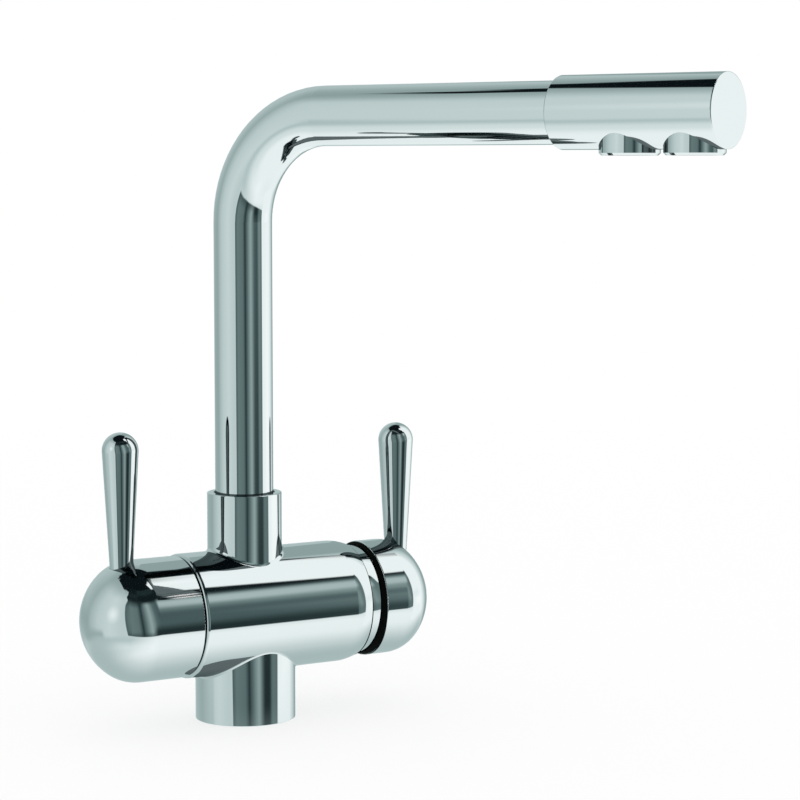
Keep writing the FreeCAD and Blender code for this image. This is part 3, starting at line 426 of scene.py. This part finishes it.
def shade_under_tap():
    """Painted shade: a dark glowing card for the worktop that the tap shades, as chrome close above sees
    it.
    It fades at its rim and aslant.
    """
    shade = disc("shade_under_tap", 1.0)
    shade.location = SHADE_PLACE
    shade.scale = SHADE_REACH + (1.0,)
    for rays in ("camera", "diffuse", "transmission", "shadow", "volume_scatter"):
        setattr(shade, f"visible_{rays}", False)
    tree = empty_tree(shade, "painted_worktop_shade")
    share = rise(tree, from_middle(tree), 1.0, SHADE_CORE)
    aslant = add(tree, "ShaderNodeLayerWeight").outputs["Facing"]
    path = add(tree, "ShaderNodeLightPath")
    for part in (
        rise(tree, aslant, *SHADE_SLANT),
        rise(tree, path.outputs["Ray Length"], *SHADE_NEAR),
        calc(tree, "LESS_THAN", path.outputs["Glossy Depth"], ONE_MIRROR),
    ):
        share = calc(tree, "MULTIPLY", share, part)
    # The card's glow is painted shade: a dark tone that chrome shows where the tap's shadow would lie
    card = add(tree, "ShaderNodeEmission")
    card.inputs["Color"].default_value = card_colour(SHADE_TONE)
    show(tree, share, add(tree, "ShaderNodeBsdfTransparent"), card)


def photo_camera():
    """The camera at the photograph's place and angle."""
    camera = bpy.data.cameras.new("camera")
    camera.lens = CAMERA_LENS
    camera.sensor_width = SENSOR_WIDTH
    holder = bpy.data.objects.new("camera", camera)
    holder.location = CAMERA_PLACE
    holder.rotation_euler = (math.pi / 2 - CAMERA_DIP, 0.0, CAMERA_YAW)
    bpy.context.scene.collection.objects.link(holder)
    bpy.context.scene.camera = holder


# Materials

# How much wider the patches of colour are than the grain, and how many finer layers each pattern has
PATCH_SIZE = 6
PATCH_LAYERS = 2.0
GRAIN_LAYERS = 4.0


def noise(tree, scale, layers):
    """A soft random pattern in the part's own frame; scale is in cycles per metre."""
    place = add(tree, "ShaderNodeTexCoord").outputs["Object"]
    node = add(tree, "ShaderNodeTexNoise")
    feed(tree, node.inputs["Vector"], place)
    node.inputs["Scale"].default_value = scale
    node.inputs["Detail"].default_value = layers
    return node.outputs["Fac"]


def bump(tree, height, depth):
    """Surface relief of a depth in metres."""
    node = add(tree, "ShaderNodeBump")
    node.inputs["Strength"].default_value = 1.0
    node.inputs["Distance"].default_value = depth
    feed(tree, node.inputs["Height"], height)
    return node.outputs[0]


def material(name, first, second, metallic, rough, grain, depth, shine=0.5):
    """A surface that varies between two colours and two roughnesses, over a fine grain of a given depth."""
    made = bpy.data.materials.new(name)
    made.use_nodes = True
    tree = made.node_tree
    shader = tree.nodes["Principled BSDF"]
    shader.inputs["Metallic"].default_value = metallic
    shader.inputs["Specular IOR Level"].default_value = shine
    patches = noise(tree, grain / PATCH_SIZE, PATCH_LAYERS)
    fine = noise(tree, grain, GRAIN_LAYERS)
    feed(tree, shader.inputs["Base Color"], mix(tree, patches, first + (1.0,), second + (1.0,)))
    feed(tree, shader.inputs["Roughness"], between(tree, fine, rough[0], rough[1]))
    feed(tree, shader.inputs["Normal"], bump(tree, fine, depth))
    return made


def finishes():
    """One finish for each of the record's slots."""
    return {
        "chrome": material(
            "polished_chrome", (0.88, 0.88, 0.88), (0.89, 0.89, 0.89),
            metallic=1.0, rough=(0.02, 0.045), grain=300.0, depth=2e-8,
        ),
        "brass": material(
            "turned_brass", (0.80, 0.60, 0.30), (0.70, 0.50, 0.23),
            metallic=1.0, rough=(0.2, 0.4), grain=900.0, depth=4e-6,
        ),
        "steel": material(
            "steel", (0.62, 0.62, 0.63), (0.55, 0.55, 0.56),
            metallic=1.0, rough=(0.2, 0.36), grain=900.0, depth=3e-6,
        ),
        "rubber": material(
            "rubber", (0.001, 0.001, 0.001), (0.003, 0.003, 0.003),
            metallic=0.0, rough=(0.5, 0.7), grain=1600.0, depth=3e-6, shine=0.05,
        ),
        "black_plastic": material(
            "black_plastic", (0.006, 0.006, 0.006), (0.012, 0.012, 0.012),
            metallic=0.0, rough=(0.35, 0.5), grain=1500.0, depth=3e-6, shine=0.3,
        ),
        "white_plastic": material(
            "white_plastic", (0.80, 0.81, 0.80), (0.74, 0.75, 0.74),
            metallic=0.0, rough=(0.35, 0.5), grain=1500.0, depth=5e-6,
        ),
        "hose_plastic": material(
            "hose_plastic", (0.62, 0.66, 0.68), (0.55, 0.60, 0.62),
            metallic=0.0, rough=(0.3, 0.45), grain=1200.0, depth=5e-6,
        ),
        "ceramic": material(
            "ceramic", (0.86, 0.85, 0.81), (0.80, 0.79, 0.75),
            metallic=0.0, rough=(0.08, 0.18), grain=1500.0, depth=1e-6,
        ),
    }


def dress(made):
    """Each CAD piece gets the finish of its slot."""
    for piece in NODES.values():
        for slot in piece.material_slots:
            slot.material = made[slot.material.name.split(".")[0]]


# Pieces, in metres

BARREL_HEIGHT = 0.0489

# The black band between cover ring and right dome: its lip's place on the barrel, how much further the lip
# reaches below than at the side, as painted shade of the wider gap there, and the lip's radii
LIP_PLACE = 0.0571
LIP_SHADE_SLANT = 0.0006
LIP_RADII = (0.02490, 0.02520)

# The dome's rim under the band: its face's place, its outer and inner radius and its rounding
RIM_PLACE = 0.0595
RIM_RADIUS = 0.0264
RIM_INSIDE = 0.02445
RIM_ROUND = 0.0004

# The band's fold over that rim: its reach above, how much more it has below, as painted shade of the wider
# gap there, and how fast that fades to the sides, its heights over the metal, and the steps of its outline
FOLD_ABOVE = 0.0001
FOLD_SHADE_BELOW = 0.0017
FOLD_FADE = 1.5
FOLD_HEIGHTS = (0.00001, 0.00004)
FOLD_STEPS = 4

# A dark ring in the seam between barrel and cover ring, painted shade of the gap there: its place, its
# width at the side, how much that grows below, and its radii
SEAM_PLACE = 0.05152
SEAM_WIDTH = 0.0005
SEAM_GROWTH = 0.0003
SEAM_RADII = (0.02505, 0.02600)

# Screw threads: their pitches, how deep and how wide the ridge is as shares of the pitch, how far it stays
# clear of the socket's wall, and the length of a hose socket's thread
STUD_PITCH = 0.00125
HOSE_PITCH = 0.001
RIDGE_DEPTH = 0.54
RIDGE_HALF_WIDTH = 0.42
THREAD_CLEAR = 0.00002
HOSE_THREAD_LENGTH = 0.011

# The first hose socket's angle round the stud, and the record's millimetres in a metre
HOSE_TURN = math.pi / 4
MM_PER_METRE = 1000

# Steps round the barrel, and in a thread's turn
RING_STEPS = 128
THREAD_STEPS = 40


def piece_from(name, mesh, finish, body):
    """A piece of a finish and a slot that moves with a body."""
    data = bpy.data.meshes.new(name)
    bmesh.ops.recalc_face_normals(mesh, faces=mesh.faces)
    mesh.to_mesh(data)
    mesh.free()
    data.shade_smooth()
    data.materials.append(finish)
    piece = bpy.data.objects.new(name, data)
    bpy.context.scene.collection.objects.link(piece)
    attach(piece, body)
    return piece


def sweep(sections, closed):
    """A skin through rows of corners, each an outline. A closed sweep joins its last row to its first."""
    mesh = bmesh.new()
    rows = [[mesh.verts.new(corner) for corner in section] for section in sections]
    pairs = list(zip(rows, rows[1:]))
    if closed:
        pairs.append((rows[-1], rows[0]))
    else:
        mesh.faces.new(rows[0])
        mesh.faces.new(rows[-1])
    for here, there in pairs:
        for index in range(len(here)):
            mesh.faces.new((here[index - 1], here[index], there[index], there[index - 1]))
    return mesh


def round_barrel(outline):
    """A ring round the barrel, whose outline at an angle from straight down gives places and radii."""
    sections = []
    for step in range(RING_STEPS):
        angle = 2 * math.pi * step / RING_STEPS
        sections.append([
            (place, radius * math.sin(angle), BARREL_HEIGHT - radius * math.cos(angle))
            for place, radius in outline(angle)
        ])
    return sweep(sections, True)


def over_rim(run, height):
    """The place and radius a run along the dome's rounded rim, at a height over the metal."""
    radius = RIM_ROUND + height
    turn = min(run / radius, math.pi / 2)
    beyond = max(run - radius * math.pi / 2, 0.0)
    place = RIM_PLACE + RIM_ROUND - radius * math.cos(turn) + beyond
    return (place, RIM_RADIUS - RIM_ROUND + radius * math.sin(turn))


def band_outline(angle):
    """The band's section: the lip, the fold over the dome's rim and back under it, and the inside.
    Lip and fold reach further below, as painted shade of the wider gap there.
    """
    lip = LIP_PLACE - LIP_SHADE_SLANT * math.cos(angle)
    fold = FOLD_ABOVE + FOLD_SHADE_BELOW * max(math.cos(angle), 0.0) ** FOLD_FADE
    under, over = FOLD_HEIGHTS
    shares = [step / FOLD_STEPS for step in range(FOLD_STEPS + 1)]
    outside = [over_rim(fold * share, over) for share in shares]
    inside = [over_rim(fold * share, under) for share in reversed(shares)]
    seat = (RIM_PLACE - under, RIM_INSIDE)
    return [(lip, LIP_RADII[0]), (lip, LIP_RADII[1])] + outside + inside + [seat]


def gaiter_band(finish):
    """The black band, whose lip reaches over the cover ring and clears it in every tilt.
    It reaches further below, as painted shade of the wider gap there.
    """
    band = piece_from("gaiter_band", round_barrel(band_outline), finish, "mixer_handle")
    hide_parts("mixer_gaiter")


def seam_outline(angle):
    """The section of the dark ring that paints the seam's shade."""
    end = SEAM_PLACE + SEAM_WIDTH + SEAM_GROWTH * math.cos(angle)
    low, high = SEAM_RADII
    return [(SEAM_PLACE, low), (SEAM_PLACE, high), (end, high), (end, low)]


def painted_seam_shade(finish):
    """A thin dark ring, painted shade in the seam before the cover ring."""
    piece_from("painted_seam_shade", round_barrel(seam_outline), finish, "body")


def thread(name, place, radius, length, pitch, finish):
    """The ridge of a screw thread up a socket in the base."""
    wall = radius - THREAD_CLEAR
    crest = wall - RIDGE_DEPTH * pitch
    half = RIDGE_HALF_WIDTH * pitch
    sections = []
    for step in range(int(THREAD_STEPS * (length - 2 * half) / pitch)):
        angle = 2 * math.pi * step / THREAD_STEPS
        rise_here = half + pitch * step / THREAD_STEPS
        sections.append([
            (place[0] + reach * math.cos(angle), place[1] + reach * math.sin(angle), rise_here + lift)
            for reach, lift in ((wall, -half), (crest, 0.0), (wall, half))
        ])
    piece_from(name, sweep(sections, False), finish, "body")


def threads(finish):
    """The threads of the stud socket and of the hose sockets, from the record's mounts."""
    mounts = {mount["name"]: mount["dims"] for mount in RECORD["mounts"]}
    stud = mounts["fixing_stud"]
    radius = stud["r_mm"] / MM_PER_METRE
    thread("stud_thread", (0.0, 0.0), radius, stud["length_mm"] / MM_PER_METRE, STUD_PITCH, finish)
    hoses = mounts["hose_sockets"]
    radius = hoses["hole_r_mm"] / MM_PER_METRE
    reach = hoses["pcd_mm"] / 2 / MM_PER_METRE
    for index in range(hoses["count"]):
        angle = HOSE_TURN + 2 * math.pi * index / hoses["count"]
        place = (reach * math.cos(angle), reach * math.sin(angle))
        name = f"hose_thread_{index + 1}"
        thread(name, place, radius, HOSE_THREAD_LENGTH, HOSE_PITCH, finish)


finish_of = finishes()
dress(finish_of)
gaiter_band(finish_of["rubber"])
painted_seam_shade(finish_of["rubber"])
threads(finish_of["brass"])
studio_world()
studio_floor()
shade_under_tap()
photo_camera()
bpy.context.scene.view_settings.view_transform = "Standard"
